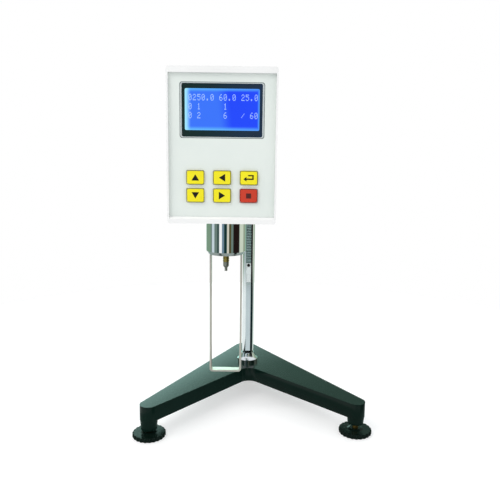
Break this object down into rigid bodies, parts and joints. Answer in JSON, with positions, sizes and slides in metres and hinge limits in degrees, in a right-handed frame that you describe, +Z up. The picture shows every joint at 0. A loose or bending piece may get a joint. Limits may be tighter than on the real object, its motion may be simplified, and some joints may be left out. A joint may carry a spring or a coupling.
{
  "type": "rotational viscometer",
  "caption": "Benchtop rotational viscometer: display head with keys, guarded spindle, rack-and-pinion post and V base on levelling feet.",
  "frame": {"origin": "middle of the footprint on the bench, which is the middle of the bounding box's lower face", "axes": "+Z up along the post, -Y the way the display and keys face, +X to the right of a person who reads the display"},
  "size_m": [0.2462, 0.209, 0.372],
  "materials": {
    "casting_green": "dark grey-green glossy enamel over cast iron",
    "post_chrome": "polished hard chrome",
    "rack_steel": "machined steel with milled teeth",
    "black_steel": "black oxide screws",
    "flange_chrome": "turned and polished",
    "plain_steel": "plain turned steel",
    "clamp_aluminium": "milled and bead blasted",
    "cover_black": "black satin paint",
    "knob_black": "moulded black with moulded flutes",
    "gear_brass": "cut brass, slightly dulled",
    "shell_white": "satin powder coat, off-white",
    "panel_grey": "satin light grey-green",
    "bezel_light": "light moulded ring",
    "lcd_black": "dark stamped frame",
    "lcd_screen": "blue lit display",
    "board_green": "solder mask over glass fibre",
    "module_black": "moulded black",
    "rocker_black": "moulded black rocker",
    "vial_glass": "tinted spirit vial",
    "plate_aluminium": "milled plate",
    "collar_chrome": "polished turned collar",
    "guard_steel": "bent stainless strip",
    "coupling_brass": "turned brass with two rings",
    "tip_steel": "turned steel",
    "encoder_black": "anodised disc with slots",
    "spring_steel": "blued spring strip",
    "motor_steel": "drawn steel can",
    "stud_brass": "threaded brass stud",
    "foot_dark": "dark green moulded disc with scallops",
    "key_yellow": "yellow moulded key",
    "key_red": "red moulded key"
  },
  "bodies": {
    "stand": {"base_casting": "casting_green", "post": "post_chrome", "post_rack": "rack_steel", "rack_screw": "black_steel", "post_flange": "flange_chrome", "post_nut": "plain_steel"},
    "stud_left": {"foot_stud_left": "stud_brass"},
    "stud_right": {"foot_stud_right": "stud_brass"},
    "stud_rear": {"foot_stud_rear": "stud_brass"},
    "disc_left": {"foot_disc_left": "foot_dark"},
    "disc_right": {"foot_disc_right": "foot_dark"},
    "disc_rear": {"foot_disc_rear": "foot_dark"},
    "carriage": {"clamp_block": "clamp_aluminium", "pinion_cover": "cover_black"},
    "post_lock": {"post_lock_screw": "knob_black"},
    "rod_lock": {"rod_lock_screw": "knob_black"},
    "lift_drive": {"lift_pinion": "gear_brass", "lift_shaft": "plain_steel", "lift_knob": "knob_black"},
    "head": {"mount_rod": "plain_steel", "head_shell": "shell_white", "rear_cover": "shell_white", "rear_fasteners": "plain_steel", "front_panel": "panel_grey", "window_bezel": "bezel_light", "lcd_frame": "lcd_black", "lcd_glass": "lcd_screen", "lcd_board": "board_green", "key_board": "board_green", "main_board": "board_green", "power_module": "module_black", "power_jack": "module_black", "switch_housing": "module_black", "level_cup": "gear_brass", "level_glass": "vial_glass", "bottom_plate": "plate_aluminium", "collar": "collar_chrome", "guard": "guard_steel", "guard_holder": "plate_aluminium", "guard_screws": "black_steel", "pivot_housing": "gear_brass", "spindle_bearings": "plain_steel", "drive_motor": "motor_steel", "motor_frame": "plate_aluminium"},
    "rocker": {"switch_rocker": "rocker_black"},
    "drive": {"drive_shaft": "plain_steel", "upper_encoder": "encoder_black", "drive_gear": "gear_brass", "hair_spring": "spring_steel"},
    "spindle": {"spindle_shaft": "plain_steel", "lower_encoder": "encoder_black", "coupling_sleeve": "coupling_brass", "coupling_tip": "tip_steel"},
    "motor_rotor": {"motor_gear": "gear_brass"},
    "up_key": {"key_up": "key_yellow"},
    "left_key": {"key_left": "key_yellow"},
    "return_key": {"key_return": "key_yellow"},
    "down_key": {"key_down": "key_yellow"},
    "right_key": {"key_right": "key_yellow"},
    "stop_key": {"key_stop": "key_red"}
  },
  "joints": [
    {"name": "level_left", "type": "slide", "parent": "stand", "child": "stud_left", "axis": [0, 0, 1], "range_m": [-0.004, 0.0018]},
    {"name": "foot_turn_left", "type": "hinge", "parent": "stud_left", "child": "disc_left", "pos_m": [-0.10621, -0.08768, 0.002], "axis": [0, 0, 1], "range_deg": [-1500, 680]},
    {"name": "level_right", "type": "slide", "parent": "stand", "child": "stud_right", "axis": [0, 0, 1], "range_m": [-0.004, 0.0018]},
    {"name": "foot_turn_right", "type": "hinge", "parent": "stud_right", "child": "disc_right", "pos_m": [0.10621, -0.07506, 0.002], "axis": [0, 0, 1], "range_deg": [-1500, 680]},
    {"name": "level_rear", "type": "slide", "parent": "stand", "child": "stud_rear", "axis": [0, 0, 1], "range_m": [-0.004, 0.0018]},
    {"name": "foot_turn_rear", "type": "hinge", "parent": "stud_rear", "child": "disc_rear", "pos_m": [-0.00982, 0.08394, 0.002], "axis": [0, 0, 1], "range_deg": [-1500, 680]},
    {"name": "head_lift", "type": "slide", "parent": "stand", "child": "carriage", "axis": [0, 0, 1], "range_m": [-0.012, 0.09]},
    {"name": "lift_turn", "type": "hinge", "parent": "carriage", "child": "lift_drive", "pos_m": [0.00679, 0.02553, 0.255], "axis": [-1, 0, 0], "range_deg": [-80, 600]},
    {"name": "post_lock_turn", "type": "hinge", "parent": "carriage", "child": "post_lock", "pos_m": [-0.00721, 0.05302, 0.255], "axis": [0, 1, 0], "range_deg": [-360, 0]},
    {"name": "rod_lock_turn", "type": "hinge", "parent": "carriage", "child": "rod_lock", "pos_m": [-0.04821, 0.03862, 0.255], "axis": [1, 0, 0], "range_deg": [-360, 0]},
    {"name": "head_tilt", "type": "hinge", "parent": "carriage", "child": "head", "pos_m": [-0.03461, 0.04002, 0.255], "axis": [0, 1, 0], "range_deg": [-4, 4]},
    {"name": "press_up", "type": "slide", "parent": "head", "child": "up_key", "axis": [0, 1, 0], "range_m": [0, 0.0012], "stiffness_N_per_m": 400},
    {"name": "press_left", "type": "slide", "parent": "head", "child": "left_key", "axis": [0, 1, 0], "range_m": [0, 0.0012], "stiffness_N_per_m": 400},
    {"name": "press_return", "type": "slide", "parent": "head", "child": "return_key", "axis": [0, 1, 0], "range_m": [0, 0.0012], "stiffness_N_per_m": 400},
    {"name": "press_down", "type": "slide", "parent": "head", "child": "down_key", "axis": [0, 1, 0], "range_m": [0, 0.0012], "stiffness_N_per_m": 400},
    {"name": "press_right", "type": "slide", "parent": "head", "child": "right_key", "axis": [0, 1, 0], "range_m": [0, 0.0012], "stiffness_N_per_m": 400},
    {"name": "press_stop", "type": "slide", "parent": "head", "child": "stop_key", "axis": [0, 1, 0], "range_m": [0, 0.0012], "stiffness_N_per_m": 400},
    {"name": "rocker_turn", "type": "hinge", "parent": "head", "child": "rocker", "pos_m": [-0.06861, 0.00404, 0.3234], "axis": [1, 0, 0], "range_deg": [-16, 0]},
    {"name": "drive_turn", "type": "hinge", "parent": "head", "child": "drive", "pos_m": [-0.03121, -0.03146, 0.262], "axis": [0, 0, 1], "continuous": true},
    {"name": "spindle_turn", "type": "hinge", "parent": "drive", "child": "spindle", "pos_m": [-0.03121, -0.03146, 0.2], "axis": [0, 0, 1], "range_deg": [-45, 45], "stiffness_Nm_per_rad": 0.002},
    {"name": "motor_turn", "type": "hinge", "parent": "head", "child": "motor_rotor", "pos_m": [-0.05151, -0.03146, 0.262], "axis": [0, 0, 1], "continuous": true}
  ],
  "couplings": [
    {"joint": "lift_turn", "follows": "head_lift", "rad_per_m": 111.11},
    {"joint": "motor_turn", "follows": "drive_turn", "ratio": -2},
    {"joint": "foot_turn_left", "follows": "level_left", "rad_per_m": 6283.2},
    {"joint": "foot_turn_right", "follows": "level_right", "rad_per_m": 6283.2},
    {"joint": "foot_turn_rear", "follows": "level_rear", "rad_per_m": 6283.2}
  ]
}
